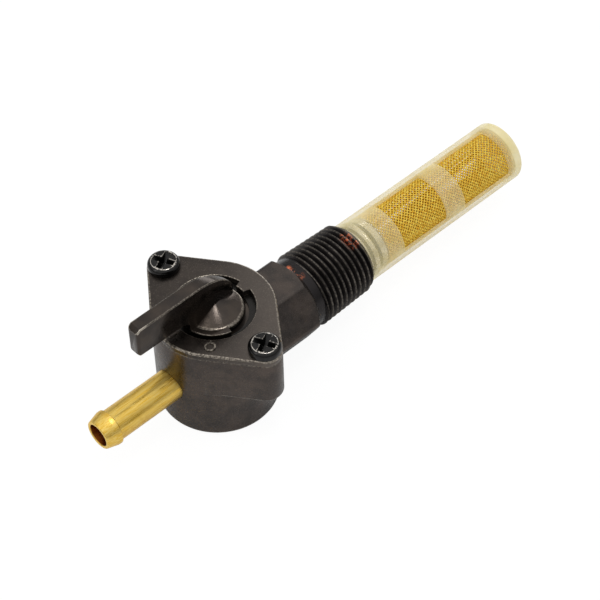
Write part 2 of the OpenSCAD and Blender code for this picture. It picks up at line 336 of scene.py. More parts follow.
def body_cutters():
    """Chamber, spigot socket, tapped holes, passages and the standpipe's socket."""
    mouth = 0.15
    gap = 0.06
    flare = 0.9
    flare_depth = 0.35
    chamber = turned_about_lever(
        "chamber",
        lambda angle: [
            (0, CHAMBER_FLOOR), (CHAMBER_R, CHAMBER_FLOOR), (CHAMBER_R, BODY_TOP - mouth),
            (CHAMBER_R + 2 * mouth, BODY_TOP + mouth), (0, BODY_TOP + mouth),
        ],
        even_angles(144),
    )
    socket = pipe_cutter(
        "socket",
        [(-BODY_R - 2, TUBE_R + flare), (-BODY_R + flare_depth, TUBE_R + gap),
         (spigot_high.x, TUBE_R + gap)],
        count=96,
    )
    hole_bottom = BODY_TOP - TAPPED_HOLE_DEPTH
    holes = [
        cylinder("tapped_hole", TAPPED_HOLE_R, hole_bottom, BODY_TOP + 1, side * SCREW_Y)
        for side in (-1, 1)
    ]
    passage_start = 8
    reserve = pipe_cutter(
        "reserve", [(passage_start, PASSAGE_R), (NOSE_END + 1, PASSAGE_R)], y=PASSAGE_Y
    )
    main = pipe_cutter(
        "main",
        [(NOSE_END - STANDPIPE_SOCKET, STANDPIPE_R), (NOSE_END + 1, STANDPIPE_R)],
        y=-PASSAGE_Y,
    )
    return [chamber, socket, reserve, main] + holes


def make_body():
    """Body, hexagon and nose in one piece, with the openings cut out."""
    body = turned_about_lever("body_casting", body_profile, ear_angles())
    neck = turned_about_pipe("neck", neck_profile, even_angles(180))
    combine(body, "UNION", [neck])
    return combine(body, "DIFFERENCE", body_cutters())


# ---- Tank thread ----

def thread_section():
    """One pitch of the thread as (share of the pitch, depth below the crest) points."""
    flank = THREAD_DEPTH * math.tan(math.radians(30)) / PITCH
    flat = (1 - 2 * flank) / 2
    ease = 0.25 * flank
    ease_depth = ease / flank * THREAD_DEPTH + 0.02
    crest_drop = 0.048 * THREAD_DEPTH
    crest = flat + flank
    return [
        (0, THREAD_DEPTH),
        (flat, THREAD_DEPTH),
        (crest - ease, ease_depth),
        (crest, crest_drop),
        (crest + 0.5 * flat, 0),
        (crest + flat, crest_drop),
        (crest + flat + ease, ease_depth),
    ]


def thread_radius(x, depth):
    """Radius of a thread point, with the run-out at the collar and the chamfer at the end."""
    run_out_start = THREAD_START - 0.6
    run_out_length = 0.5
    chamfer_length = 1.1
    chamfer_slope = 0.9
    crest = CREST_R - (x - THREAD_START - PITCH) * TAPER
    root = crest - THREAD_DEPTH
    rise = min(1.0, max(0.0, (x - run_out_start) / run_out_length))
    radius = root + (THREAD_DEPTH - depth) * rise
    at_end = root - 0.05 + (THREAD_END - x) * chamfer_slope
    return min(radius, at_end) if x > THREAD_END - chamfer_length else radius


def make_thread():
    """Right-hand helix on the taper: a strip of thread sections wound along the pipe.

    first_crest is where a crest crosses the top. The strip starts lead_in turns before
    it, and what falls outside the thread's length is squeezed flat against its ends.
    """
    per_turn = 96
    start = THREAD_START - 0.8
    first_crest = 25.26
    lead_in = 3
    section = thread_section()
    size = len(section)
    crest_share = next(share for share, depth in section if depth == 0)
    columns = (math.ceil((THREAD_END - first_crest) / PITCH) + lead_in + 1) * per_turn
    points = []
    for column in range(columns + per_turn + 1):
        angle = 2 * math.pi * column / per_turn
        for share, depth in section:
            x = first_crest + (column / per_turn - lead_in + share - crest_share) * PITCH
            x = min(max(x, start), THREAD_END)
            r = thread_radius(x, depth)
            points.append((x, -r * math.sin(angle), r * math.cos(angle)))
    faces = []
    for column in range(columns):
        for k in range(size):
            here = column * size + k
            above = here + 1 if k < size - 1 else (column + per_turn) * size
            faces.append((here, here + size, above + size, above))
    thread = mesh_object("tank_thread", points, faces)
    close_ends(thread)
    return thread


def close_ends(piece):
    """Fills the open ends of a tube-shaped mesh with flat faces."""
    work = bmesh.new()
    work.from_mesh(piece.data)
    rims = [edge for edge in work.edges if edge.is_boundary]
    bmesh.ops.holes_fill(work, edges=rims)
    bmesh.ops.recalc_face_normals(work, faces=work.faces)
    work.to_mesh(piece.data)
    work.free()


# ---- Cover plate ----

def opening_radius(angle):
    """Radius of the cover's opening, with the stop tab that reaches in at +X."""
    tab_r = BOSS_R + 0.75
    tab_half = math.radians(8.6)
    flank = math.radians(1.8)
    off_tab = abs((angle + math.pi) % (2 * math.pi) - math.pi)
    share = min(1.0, max(0.0, (off_tab - tab_half) / flank))
    return tab_r + (OPENING_R - tab_r) * share


def cover_angles():
    """Angles round the cover, closest together at the stop tab."""
    tab_angles = [math.radians(0.45 * k) for k in range(-26, 27)]
    away = [a for a in ear_angles() if tab_angles[-1] < a < 2 * math.pi + tab_angles[0]]
    return tab_angles + away


def cover_profile(angle):
    """Section of the cover plate, with a rounded top rim."""
    outer = eared_radius(angle)
    inner = opening_radius(angle)
    rim_round = 0.42
    opening_round = 0.2
    lip = 0.16
    return (
        [(inner, BODY_TOP + lip)]
        + arc(inner + opening_round, COVER_TOP - opening_round, opening_round, 180, 90, 3)
        + arc(outer - rim_round, COVER_TOP - rim_round, rim_round, 90, 0, 6)
        + arc(outer - lip, BODY_TOP + lip, lip, 0, -90, 3)
        + [(inner + lip, BODY_TOP)]
    )


MARK_ROOT = COVER_TOP - 0.3
MARK_SHOULDER = COVER_TOP + 0.13
MARK_TOP = COVER_TOP + MARK_HEIGHT


def raised_mark(name, low, taper):
    """Low prism on the cover that narrows a little towards its top."""
    middle = Vector((sum(x for x, y in low) / len(low), sum(y for x, y in low) / len(low)))
    top = [tuple(middle + (Vector(point) - middle) * taper) for point in low]
    return prism(name, [(low, MARK_ROOT), (low, MARK_SHOULDER), (top, MARK_TOP)])


def turned_outline(points, degrees):
    turn = Matrix.Rotation(math.radians(degrees), 2)
    return [tuple(turn @ Vector(point)) for point in points]


def position_marks():
    """Ring for closed, bar for open and wedge for reserve."""
    mark_r = 10.7
    ring = ring_mark(Vector(turned_outline([(mark_r, 0)], 225)[0]))
    near, far, half = mark_r - 1.2, mark_r + 1.2, 0.3
    bar = turned_outline([(near, -half), (far, -half), (far, half), (near, half)], 180)
    near, far, half = mark_r - 1.1, mark_r + 1.1, 0.9
    wedge = turned_outline([(near, -half), (far, 0), (near, half)], 135)
    return [ring, raised_mark("bar", bar, 0.9), raised_mark("wedge", wedge, 0.88)]


def ring_mark(centre):
    outer_r = 1.2
    inner_r = 0.75
    slope = 0.07
    section = [
        (inner_r, MARK_ROOT), (outer_r, MARK_ROOT), (outer_r, MARK_SHOULDER),
        (outer_r - slope, MARK_TOP), (inner_r + slope, MARK_TOP), (inner_r, MARK_SHOULDER),
    ]
    rings = [
        [(centre.x + r * math.cos(a), centre.y + r * math.sin(a), z) for r, z in section]
        for a in even_angles(48)
    ]
    return skin("ring", rings, closed=True)


def make_cover():
    cover = turned_about_lever("cover_plate_shell", cover_profile, cover_angles())
    combine(cover, "UNION", position_marks())
    holes = [
        cylinder("hole", COVER_HOLE_R, BODY_TOP - 1, COVER_TOP + 1, side * SCREW_Y)
        for side in (-1, 1)
    ]
    return combine(cover, "DIFFERENCE", holes)


# ---- Lever ----

LEVER_TIP = lever_low.x
LEVER_TOP = lever_high.z
LEVER_UNDER = COVER_TOP + 2.5
BLADE_HALF = 1.55
BLADE_EDGE = 0.3
TIP_CORNER = 0.6
TIP_CHAMFER = 0.9
BLADE_NOSE_START = -6.0
BLADE_NOSE_LENGTH = 11.3
CROWN_TOP = COVER_TOP + 2.2


def blade_half_width(x):
    """Half of the blade's thickness: rounded at the tip, straight, then narrowing to the nose."""
    from_tip = x - LEVER_TIP
    if from_tip < TIP_CORNER:
        rise = math.sqrt(max(0.0, TIP_CORNER**2 - (TIP_CORNER - from_tip) ** 2))
        return BLADE_HALF - TIP_CORNER + rise
    if x <= BLADE_NOSE_START:
        return BLADE_HALF
    radius = (BLADE_NOSE_LENGTH**2 + BLADE_HALF**2) / (2 * BLADE_HALF)
    along = min(x - BLADE_NOSE_START, BLADE_NOSE_LENGTH)
    return math.sqrt(radius**2 - along**2) - (radius - BLADE_HALF)


def blade_top(x):
    """Height of the blade's top edge: chamfered tip, straight, then the rounded crest."""
    crest_round = 11.4
    crest_x = -5.2
    if x > crest_x:
        drop = crest_round - math.sqrt(max(0.0, crest_round**2 - (x - crest_x) ** 2))
        return LEVER_TOP - drop
    return LEVER_TOP - max(0.0, TIP_CHAMFER - (x - LEVER_TIP))


def blade_ring(x, bottom):
    """Rounded rectangle across the blade at x."""
    half = max(0.06, blade_half_width(x))
    top = blade_top(x)
    edge = min(BLADE_EDGE, 0.85 * half)
    high = top - edge
    low = bottom + edge
    corners = [(1, high, 0), (-1, high, 90), (-1, low, 180), (1, low, 270)]
    return [
        (x, y, z)
        for side, level, start in corners
        for y, z in arc(side * (half - edge), level, edge, start, start + 90, 4)
    ]


def make_blade():
    """Blade lofted from its tip to its nose, with the bent root below its underside."""
    foot = BOSS_TOP - 1
    bend_start = -BOSS_R - 2.4
    bend_end = -BOSS_R - 1
    nose_end = BLADE_NOSE_START + BLADE_NOSE_LENGTH
    tip_steps = 8
    tip_lift = 0.35
    rings = []
    for k in range(tip_steps + 1):
        along = TIP_CORNER * (1 - math.cos(math.pi / 2 * k / tip_steps))
        lift = tip_lift * (1 - min(1.0, along / tip_lift))
        rings.append(blade_ring(LEVER_TIP + along, LEVER_UNDER + lift))
    for x in (LEVER_TIP + TIP_CHAMFER, -16, -12, bend_start - 0.3):
        rings.append(blade_ring(x, LEVER_UNDER))
    rings.append(blade_ring(bend_start + 0.1, LEVER_UNDER - 0.06))
    rings.append(blade_ring(bend_end - 0.12, LEVER_UNDER - 0.92))
    rings.append(blade_ring(bend_end, LEVER_UNDER - 1.1))
    rings.append(blade_ring(bend_end, foot))
    steps = 40
    for k in range(1, steps + 1):
        rings.append(blade_ring(bend_end + (nose_end - bend_end) * k / steps, foot))
    return skin("blade", rings, closed=False)


def rotor_profile(angle):
    """Half outline of the rotor drum, its seal groove, and the cone-topped boss."""
    drum_r = lever_high.x
    bottom = lever_low.z
    groove_r = 8.0
    groove_low = 8.19
    groove_high = 10.21
    drum_top = 11.95
    edge = 0.2
    rim = 0.8
    return (
        [(0, bottom), (drum_r - edge, bottom), (drum_r, bottom + edge)]
        + [(drum_r, groove_low), (groove_r, groove_low)]
        + [(groove_r, groove_high), (drum_r, groove_high)]
        + [(drum_r, drum_top - edge), (drum_r - edge, drum_top), (BOSS_R, drum_top)]
        + arc(BOSS_R - rim, BOSS_TOP - rim, rim, 0, 90, 6)
        + [(1.2, CROWN_TOP - 0.1), (0.8, CROWN_TOP), (0, CROWN_TOP)]
    )


def make_lug():
    """Part ring beside the boss that meets the cover's stop tab."""
    outer = OPENING_R - 1.15
    inner = BOSS_R - 1
    low = BODY_TOP + 0.06
    top = COVER_TOP - 0.15
    edge = 0.22
    half_angle = math.radians(77)
    section = (
        [(inner, low), (outer, low)]
        + arc(outer - edge, top - edge, edge, 0, 90, 4)
        + [(inner, top)]
    )
    steps = 72
    angles = [math.pi - half_angle + 2 * half_angle * k / steps for k in range(steps + 1)]
    rings = [[(r * math.cos(a), r * math.sin(a), z) for r, z in section] for a in angles]
    return skin("lug", rings, closed=False)


def rotor_channel():
    """Cutter for the round-ended channel that joins the ports under the rotor."""
    half = PASSAGE_R + 0.1
    reach = math.hypot(PASSAGE_Y, PASSAGE_Y)
    outline = arc(0, 0, half, 90, 270, 16) + arc(reach, 0, half, -90, 90, 16)
    points = turned_outline(outline, 225)
    return prism("channel", [(points, lever_low.z - 1), (points, lever_low.z + 2)])


def make_lever():
    """Rotor, boss, lug and blade in one piece."""
    lever = turned_about_lever("lever_and_rotor", rotor_profile, even_angles(180))
    combine(lever, "UNION", [make_lug(), make_blade()])
    return combine(lever, "DIFFERENCE", [rotor_channel()])


# ---- Cover screws ----

def screw_profile(angle):
    """Half outline of a pan head screw on the lever axis, with ridges for its thread."""
    head_r = screw_high.y - SCREW_Y
    head_top = screw_high.z
    head_round = 1.2
    crown = 0.12
    shank_r = 1.96
    core_r = 1.6
    pitch = 0.7
    ridges = 11
    ridge_half = 0.4 * pitch
    tip = screw_low.z
    thread = []
    for ridge in range(1, ridges + 1):
        z = tip + ridge * pitch
        thread += [(core_r, z - ridge_half), (shank_r, z), (core_r, z + ridge_half)]
    flat_r = head_r - head_round
    return (
        [(0, tip), (core_r - 0.3, tip), (core_r, tip + 0.25)]
        + thread
        + [(shank_r, COVER_TOP - 0.8), (shank_r, COVER_TOP), (head_r - 0.1, COVER_TOP)]
        + [(head_r, COVER_TOP + 0.12)]
        + arc(flat_r, head_top - crown - head_round, head_round, 0, 72, 9)
        + [(0.55 * flat_r, head_top - 0.3 * crown), (0, head_top)]
    )


def recess_arm(turn):
    """Cutter for one arm of the cross recess, flared at its rim and narrowing downwards.

    Each level is (arm's reach, half its width, height above the head's top).
    """
    head_top = screw_high.z
    levels = [(2.75, 1.1, 0.25), (2.4, 0.66, -0.2), (2.0, 0.52, -0.6), (0.8, 0.3, -1.7)]
    outlines = []
    for arm, half, level in levels:
        corners = [(-arm, -half), (arm, -half), (arm, half), (-arm, half)]
        outlines.append((turned_outline(corners, turn), head_top + level))
    return prism("recess", outlines)


def make_screw(side):
    """Screw at +Y or -Y, made on the lever axis and moved out to its hole."""
    screw = turned_about_lever("cover_screw", screw_profile, even_angles(96))
    head_turn = 25
    combine(screw, "DIFFERENCE", [recess_arm(head_turn), recess_arm(head_turn + 90)])
    screw.name = "cover_screw_right" if side > 0 else "cover_screw_left"
    screw.data.transform(Matrix.Translation((0, side * SCREW_Y * MM, 0)))
    return screw


# ---- Hose spigot ----

def spigot_profile(angle):
    """Half outline of the spigot: rounded mouth, barb with its land, groove and plain tube."""
    tip = spigot_low.x
    tip_r = 3.3
    mouth_round = 0.2
    tip_round = 0.3
    barb_r = spigot_high.z
    land_start = tip + 2.5
    land_end = tip + 3.5
    land_edge = 0.12
    return (
        [(spigot_high.x, TUBE_BORE_R), (tip + tip_round, TUBE_BORE_R)]
        + arc(tip + mouth_round, TUBE_BORE_R + 0.25, mouth_round, -90, -180, 4)
        + arc(tip + tip_round, tip_r - tip_round, tip_round, 180, 110, 4)
        + [(land_start - 0.15, barb_r - 0.08), (land_start + 0.1, barb_r)]
        + [(land_end - land_edge, barb_r), (land_end, barb_r - land_edge)]
        + [(land_end + 0.04, TUBE_R + 0.04), (land_end + 0.2, TUBE_R)]
        + [(spigot_high.x, TUBE_R)]
    )


def make_spigot():
    return turned_about_pipe("hose_spigot", spigot_profile, even_angles(128))


# ---- Filter frame ----

WINDOWS = [(48.5, 62.2), (67.5, 82.4)]
WINDOW_HALF_ANGLE = 59
WINDOW_ANGLE = 34


def collar_rows():
    """Rows of the filter's collar, with a groove inside it that snaps over the nose's ridge."""
    inner = NOSE_R + 0.25
    groove_side = 6.68
    groove_floor = 6.76
    edge = 0.2
    start = filter_low.x
    end = 44.5
    step = 0.12
    rows = [(start, FRAME_R - edge, start, inner)]
    rows.append((start + edge, FRAME_R, start + edge, inner))
    depths = (inner, groove_side, groove_floor, groove_side, inner)
    for k, depth in enumerate(depths):
        x = RIDGE_X - 1 + 0.5 * k
        rows.append((x, FRAME_R, x, depth))
    rows.append((end, FRAME_R, end, inner))
    rows.append((end + step, FRAME_R, end + step, FRAME_INNER_R))
    return rows


def frame_rows():
    """Rows of (x, outer radius, inner x, inner radius) from the collar to the closed end."""
    rows = collar_rows()
    steps = 6
    for low, high in WINDOWS:
        for k in range(steps + 1):
            x = low + (high - low) * k / steps
            rows.append((x, FRAME_R, x, FRAME_INNER_R))
    wall = 1.2
    floor = FILTER_END - wall
    rim = 0.55
    rows.append((floor - 0.3, FRAME_R, floor - 0.3, FRAME_INNER_R))
    for k, (x, r) in enumerate(arc(FILTER_END - rim, FRAME_R - rim, rim, 90, 0, 5)):
        rows.append((x, r, floor, FRAME_INNER_R - 0.2 * k))
    rows.append((FILTER_END, 3.5, floor, 3.2))
    rows.append((FILTER_END, 0, floor, 0))
    return rows


def in_window(x, degrees):
    """Whether a point of the frame lies in a window. Each row has two, half a turn apart."""
    off = (degrees - WINDOW_ANGLE + 90) % 180 - 90
    return abs(off) < WINDOW_HALF_ANGLE and any(low < x < high for low, high in WINDOWS)


def frame_angles():
    """Angles in degrees that put grid lines on the windows' sides."""
    rib = 90 - WINDOW_HALF_ANGLE
    window_steps = 30
    rib_steps = 16
    angles = []
    for side in (0, 180):
        start = WINDOW_ANGLE - WINDOW_HALF_ANGLE + side
        angles += [start + 2 * WINDOW_HALF_ANGLE * k / window_steps for k in range(window_steps)]
        start += 2 * WINDOW_HALF_ANGLE
        angles += [start + 2 * rib * k / rib_steps for k in range(rib_steps)]
    return angles


def make_filter_frame():
    """Shell with two rows of windows, walls round each window, and rounded window edges."""
    rows = frame_rows()
    angles = frame_angles()
    count = len(angles)
    points = []
    for x, r, inner_x, inner_r in rows:
        for degrees in angles:
            a = math.radians(degrees)
            points.append((x, -r * math.sin(a), r * math.cos(a)))
    offset = len(points)
    for x, r, inner_x, inner_r in rows:
        for degrees in angles:
            a = math.radians(degrees)
            points.append((inner_x, -inner_r * math.sin(a), inner_r * math.cos(a)))
    solid = {}
    for i in range(len(rows) - 1):
        for k in range(count):
            step = (angles[(k + 1) % count] - angles[k]) % 360
            middle_x = (rows[i][0] + rows[i + 1][0]) / 2
            solid[i, k] = not in_window(middle_x, angles[k] + step / 2)
    faces = []
    for (i, k), filled in solid.items():
        if filled:
            faces += shell_cell(solid, i, k, len(rows) - 1, count, offset)
    shell = mesh_object("filter_frame_shell", points, faces)
    bevel = shell.modifiers.new("bevel", "BEVEL")
    bevel.limit_method = "ANGLE"
    bevel.angle_limit = math.radians(50)
    bevel.width = 0.28 * MM
    bevel.segments = 3
    apply_modifiers(shell)
    return shell


def shell_cell(solid, i, k, row_count, count, offset):
    """Outer and inner face of one cell, and a wall at each side that has no neighbour."""
    after = (k + 1) % count
    near, far = i * count, (i + 1) * count
    corners = [near + k, near + after, far + after, far + k]
    faces = [tuple(corners), tuple(c + offset for c in reversed(corners))]
    neighbours = [(i - 1, k), (i, after), (i + 1, k), (i, (k - 1) % count)]
    for side, neighbour in enumerate(neighbours):
        at_closed_end = neighbour[0] == row_count
        if not solid.get(neighbour, False) and not at_closed_end:
            a, b = corners[side], corners[(side + 1) % 4]
            faces.append((a, b, b + offset, a + offset))
    return faces


# ---- Gauze ----

GAUZE_PITCH = 0.62
BIAS = math.radians(45)
WIRE_HALF_WIDTH = 0.22
WIRE_HALF_DEPTH = 0.11
WIRE_SIDES = 3


def add_wire(centres, normals, points, faces):
    """Adds one wire through the centres. Each normal points away from the pipe axis."""
    base = len(points)
    last = len(centres) - 1
    for here, centre in enumerate(centres):
        along = (centres[min(here + 1, last)] - centres[max(here - 1, 0)]).normalized()
        across = along.cross(normals[here]).normalized()
        up = across.cross(along)
        for k in range(WIRE_SIDES):
            turn = 2 * math.pi * k / WIRE_SIDES
            rise = up * math.cos(turn) * WIRE_HALF_DEPTH
            points.append(centre + rise + across * math.sin(turn) * WIRE_HALF_WIDTH)
    for here in range(last):
        near = base + here * WIRE_SIDES
        far = near + WIRE_SIDES
        for k in range(WIRE_SIDES):
            after = (k + 1) % WIRE_SIDES
            faces.append((near + k, near + after, far + after, far + k))
    faces.append(tuple(base + k for k in range(WIRE_SIDES)))
    faces.append(tuple(base + last * WIRE_SIDES + k for k in range(WIRE_SIDES)))


def make_gauze():
    """Plain weave laid on the bias, so its wires climb round the filter both ways."""
    middle_r = gauze_high.z - 2 * WIRE_HALF_DEPTH
    sway = 0.75 * WIRE_HALF_DEPTH
    wire_count = round(2 * math.pi * middle_r * math.cos(BIAS) / GAUZE_PITCH)
    half_turn = math.pi / (2 * wire_count)
    half_rise = half_turn * middle_r / math.tan(BIAS)
    steps = round((gauze_high.x - gauze_low.x) / half_rise)
    half_rise = (gauze_high.x - gauze_low.x) / steps
    points = []
    faces = []
    for hand in (1, -1):
        for k in range(wire_count):
            start = 2 * math.pi * k / wire_count
            centres = []
            normals = []
            for step in range(steps + 1):
                a = start + hand * half_turn * step
                outward = Vector((0, -math.sin(a), math.cos(a)))
                wave = hand * math.cos(math.pi * step / 2)
                x = gauze_low.x + half_rise * step
                centres.append(outward * (middle_r + sway * wave) + Vector((x, 0, 0)))
                normals.append(outward)
            add_wire(centres, normals, points, faces)
    return mesh_object("woven_gauze", points, faces)


# ---- Materials ----

class Finish:
    """A node material in the making. Texture sizes are in millimetres."""

    def __init__(self, name):
        self.material = bpy.data.materials.new(name)
        self.material.use_nodes = True
        self.nodes = self.material.node_tree.nodes
        self.surface = self.nodes["Principled BSDF"]
        coordinates = self.nodes.new("ShaderNodeTexCoord")
        self.at = self.vector_math("SCALE", coordinates.outputs["Object"], scale=1 / MM)

    def link(self, output, target):
        self.material.node_tree.links.new(output, target)

    def feed(self, target, value):
        """Sets an input to a number or a colour, or links it to a node's output."""
        if isinstance(value, bpy.types.NodeSocket):
            self.link(value, target)
        elif isinstance(value, tuple) and len(value) == 3 and target.type == "RGBA":
            target.default_value = (*value, 1)
        else:
            target.default_value = value

    def vector_math(self, operation, first, second=None, scale=None):
        node = self.nodes.new("ShaderNodeVectorMath")
        node.operation = operation
        self.feed(node.inputs[0], first)
        if second is not None:
            self.feed(node.inputs[1], second)
        if scale is not None:
            node.inputs["Scale"].default_value = scale
        gives_number = operation in ("DOT_PRODUCT", "LENGTH", "DISTANCE")
        return node.outputs["Value" if gives_number else "Vector"]

    def offset(self):
        """The surface point as millimetres from the lever axis."""
        return self.vector_math("SUBTRACT", self.at, tuple(AXIS_POINT / MM))

    def separate(self, axis):
        """One coordinate of the surface point, in millimetres."""
        node = self.nodes.new("ShaderNodeSeparateXYZ")
        self.link(self.at, node.inputs[0])
        return node.outputs[axis]

    def math(self, operation, first, second=0.0):
        node = self.nodes.new("ShaderNodeMath")
        node.operation = operation
        self.feed(node.inputs[0], first)
        self.feed(node.inputs[1], second)
        return node.outputs[0]

    def noise(self, size, detail=3.0, stretch=(1, 1, 1), rough=0.5):
        """Noise whose blotches are about as wide as size, drawn out along the axes by stretch."""
        scaled = self.vector_math("DIVIDE", self.at, tuple(size * s for s in stretch))
        node = self.nodes.new("ShaderNodeTexNoise")
        node.inputs["Scale"].default_value = 1.0
        node.inputs["Detail"].default_value = detail
        node.inputs["Roughness"].default_value = rough
        self.link(scaled, node.inputs["Vector"])
        return node.outputs["Fac"]

    def spread(self, value, low, high, to_low=0.0, to_high=1.0):
        """Carries the range low to high over to to_low to to_high, and clamps it."""
        node = self.nodes.new("ShaderNodeMapRange")
        node.interpolation_type = "SMOOTHSTEP"
        self.feed(node.inputs["Value"], value)
        node.inputs["From Min"].default_value = low
        node.inputs["From Max"].default_value = high
        node.inputs["To Min"].default_value = to_low
        node.inputs["To Max"].default_value = to_high
        return node.outputs["Result"]

    def mix(self, share, first, second):
        node = self.nodes.new("ShaderNodeMix")
        node.data_type = "RGBA"
        self.feed(node.inputs[0], share)
        self.feed(node.inputs[6], first)
        self.feed(node.inputs[7], second)
        return node.outputs[2]

    def worn_edges(self):
        """1 on the faces that mark_wear() found, else 0."""
        node = self.nodes.new("ShaderNodeAttribute")
        node.attribute_name = "wear"
        return node.outputs["Fac"]

    def facing(self):
        """0 where the surface faces the eye, 1 where it is seen edge on."""
        node = self.nodes.new("ShaderNodeLayerWeight")
        node.inputs["Blend"].default_value = 0.5
        return node.outputs["Facing"]

    def near(self, centre, inner, outer):
        """1 within inner millimetres of a point, fading to 0 at outer."""
        point = place(centre) / MM
        distance = self.vector_math("DISTANCE", self.at, tuple(point))
        return self.spread(distance, outer, inner)

    def bump(self, height, depth, strength=1.0):
        """Roughens the surface by a height map of the given depth in millimetres."""
        node = self.nodes.new("ShaderNodeBump")
        node.inputs["Strength"].default_value = strength
        node.inputs["Distance"].default_value = depth * MM
        self.link(height, node.inputs["Height"])
        earlier = self.surface.inputs["Normal"]
        if earlier.is_linked:
            self.link(earlier.links[0].from_socket, node.inputs["Normal"])
        self.link(node.outputs["Normal"], earlier)

    def overlay(self, share, colour):
        """Mixes a colour over the surface's present one."""
        target = self.surface.inputs["Base Color"]
        self.link(self.mix(share, target.links[0].from_socket, colour), target)

    def set(self, **values):
        """Sets inputs of the surface by name, with _ for a space."""
        names = {name.replace(" ", "_").lower(): name for name in self.surface.inputs.keys()}
        for key, value in values.items():
            self.feed(self.surface.inputs[names[key]], value)


PALE_GRAIN = (0.19, 0.16, 0.135)
BARE_EDGE = (0.46, 0.41, 0.34)
# Edge colour near the lever's tip: partly worn plating, partly a painted highlight.
TIP_WEAR_AND_HIGHLIGHT = (0.6, 0.54, 0.46)
COVER_PALER_SIDE = (0.42, 0.36, 0.31)
RUBBED_SCREW = (0.6, 0.56, 0.5)
COLLAR_BLACK = (0.032, 0.029, 0.029)
MACHINED_NOSE = (0.72, 0.66, 0.55)
NOSE_SHADOW = (0.03, 0.022, 0.03)
COPPER = (0.85, 0.24, 0.11)
TARNISH = (0.20, 0.055, 0.008)


def black_nickel(name, dark, warm, roughness, wear, grain):
    """Satin black nickel on a die casting, with fine pale grain, worn along its edges."""
    look = Finish(name)
    colour = look.mix(look.spread(look.noise(4.0, detail=2), 0.3, 0.7), dark, warm)
    speckle = look.noise(0.24, detail=2, rough=0.6)
    pale = look.spread(speckle, 0.56, 0.74, 0, grain)
    colour = look.mix(pale, colour, PALE_GRAIN)
    rubbed = look.spread(look.noise(0.45, detail=2, rough=0.7), 0.4, 0.62, 0.12, 1.0)
    worn = look.math("MULTIPLY", look.math("MULTIPLY", look.worn_edges(), rubbed), wear)
    colour = look.mix(worn, colour, BARE_EDGE)
    rough = look.spread(look.noise(1.5, detail=2), 0.3, 0.7, roughness - 0.04, roughness + 0.06)
    look.set(base_color=colour, metallic=0.95, roughness=rough)
    look.bump(speckle, 0.02, 0.3)
    return look


def body_finish():
    """Body plating, near black on the collar and bare on the machined nose."""
    look = black_nickel(
        "body_black_nickel", (0.062, 0.054, 0.050), (0.096, 0.078, 0.068), 0.27, 0.3, 0.4
    )
    along = look.separate("X")
    collar = place((HEX_END, 0, 0)).x / MM
    nose = place((THREAD_END, 0, 0)).x / MM
    look.overlay(look.spread(along, collar - 0.2, collar + 0.2), COLLAR_BLACK)
    look.overlay(look.spread(along, nose - 0.3, nose), MACHINED_NOSE)
    for band, half in ((RIDGE_X - 1.1, 0.3), (RIDGE_X + 0.9, 0.5)):
        centre = place((band, 0, 0)).x / MM
        off = look.math("ABSOLUTE", look.math("SUBTRACT", along, centre))
        look.overlay(look.spread(off, half + 0.15, half), NOSE_SHADOW)
    return look


def cover_finish():
    """Cover plating, a little paler towards the hexagon's side."""
    look = black_nickel(
        "cover_black_nickel", (0.048, 0.041, 0.037), (0.063, 0.053, 0.046), 0.3, 0.8, 0.5
    )
    across = look.vector_math("DOT_PRODUCT", look.offset(), (0.5, -0.5, 0))
    # Plain gradient across the whole plate: paler towards +X and -Y.
    look.overlay(look.spread(across, -4, 11, 0, 0.18), COVER_PALER_SIDE)
    return look


def lever_finish():
    """Lever plating, with fine turning marks on the boss and brighter edges at the tip, partly
    worn plating and partly a painted highlight.
    """
    look = black_nickel(
        "lever_black_nickel", (0.05, 0.043, 0.039), (0.074, 0.06, 0.05), 0.18, 0.38, 0.05
    )
    flat = look.vector_math("MULTIPLY", look.offset(), (1, 1, 0))
    radius = look.vector_math("LENGTH", flat)
    rings = look.nodes.new("ShaderNodeTexNoise")
    rings.noise_dimensions = "1D"
    rings.inputs["Scale"].default_value = 9.0
    look.link(radius, rings.inputs["W"])
    on_boss = look.spread(look.separate("Z"), CROWN_TOP + 0.4, CROWN_TOP)
    look.bump(look.math("MULTIPLY", rings.outputs["Fac"], on_boss), 0.015, 0.5)
    # Paler colour on the rounded edges near the tip: partly worn plating, partly a painted
    # highlight.
    tip = place((LEVER_TIP, 0, 0)).x / MM
    at_tip = look.spread(look.separate("X"), tip + 3.5, tip + 1.5, 0, 0.7)
    look.overlay(look.math("MULTIPLY", look.worn_edges(), at_tip), TIP_WEAR_AND_HIGHLIGHT)
    return look


def thread_finish():
    """Thread plating, darker than the body's, with paler crests that are partly worn plating and
    partly a painted highlight.
    """
    return black_nickel(
        "thread_black_nickel", (0.03, 0.027, 0.027), (0.05, 0.045, 0.043), 0.36, 0.3, 0.15
    )


def add_copper(look, spots):
    """Rubs the plating through to copper near points, each with its reach and strength."""
    patchy = look.spread(look.noise(0.7, detail=3, rough=0.65), 0.48, 0.58)
    for centre, reach, strength in spots:
        share = look.math("MULTIPLY", look.near(centre, 0.2 * reach, reach), patchy)
        look.overlay(look.math("MULTIPLY", share, strength), COPPER)


def screw_finish():
    """Glossy black steel with bright rubbed edges."""
    look = Finish("screw_black_steel")
    colour = look.mix(look.noise(0.8, detail=3), (0.02, 0.02, 0.021), (0.04, 0.038, 0.036))
    rubbed = look.spread(look.noise(0.5), 0.38, 0.56, 0.1, 1.0)
    colour = look.mix(look.math("MULTIPLY", look.worn_edges(), rubbed), colour, RUBBED_SCREW)
    rough = look.spread(look.noise(0.6), 0.3, 0.7, 0.10, 0.2)
    look.set(base_color=colour, metallic=0.9, roughness=rough)
    look.bump(look.noise(0.3, detail=3), 0.02, 0.3)
    return look


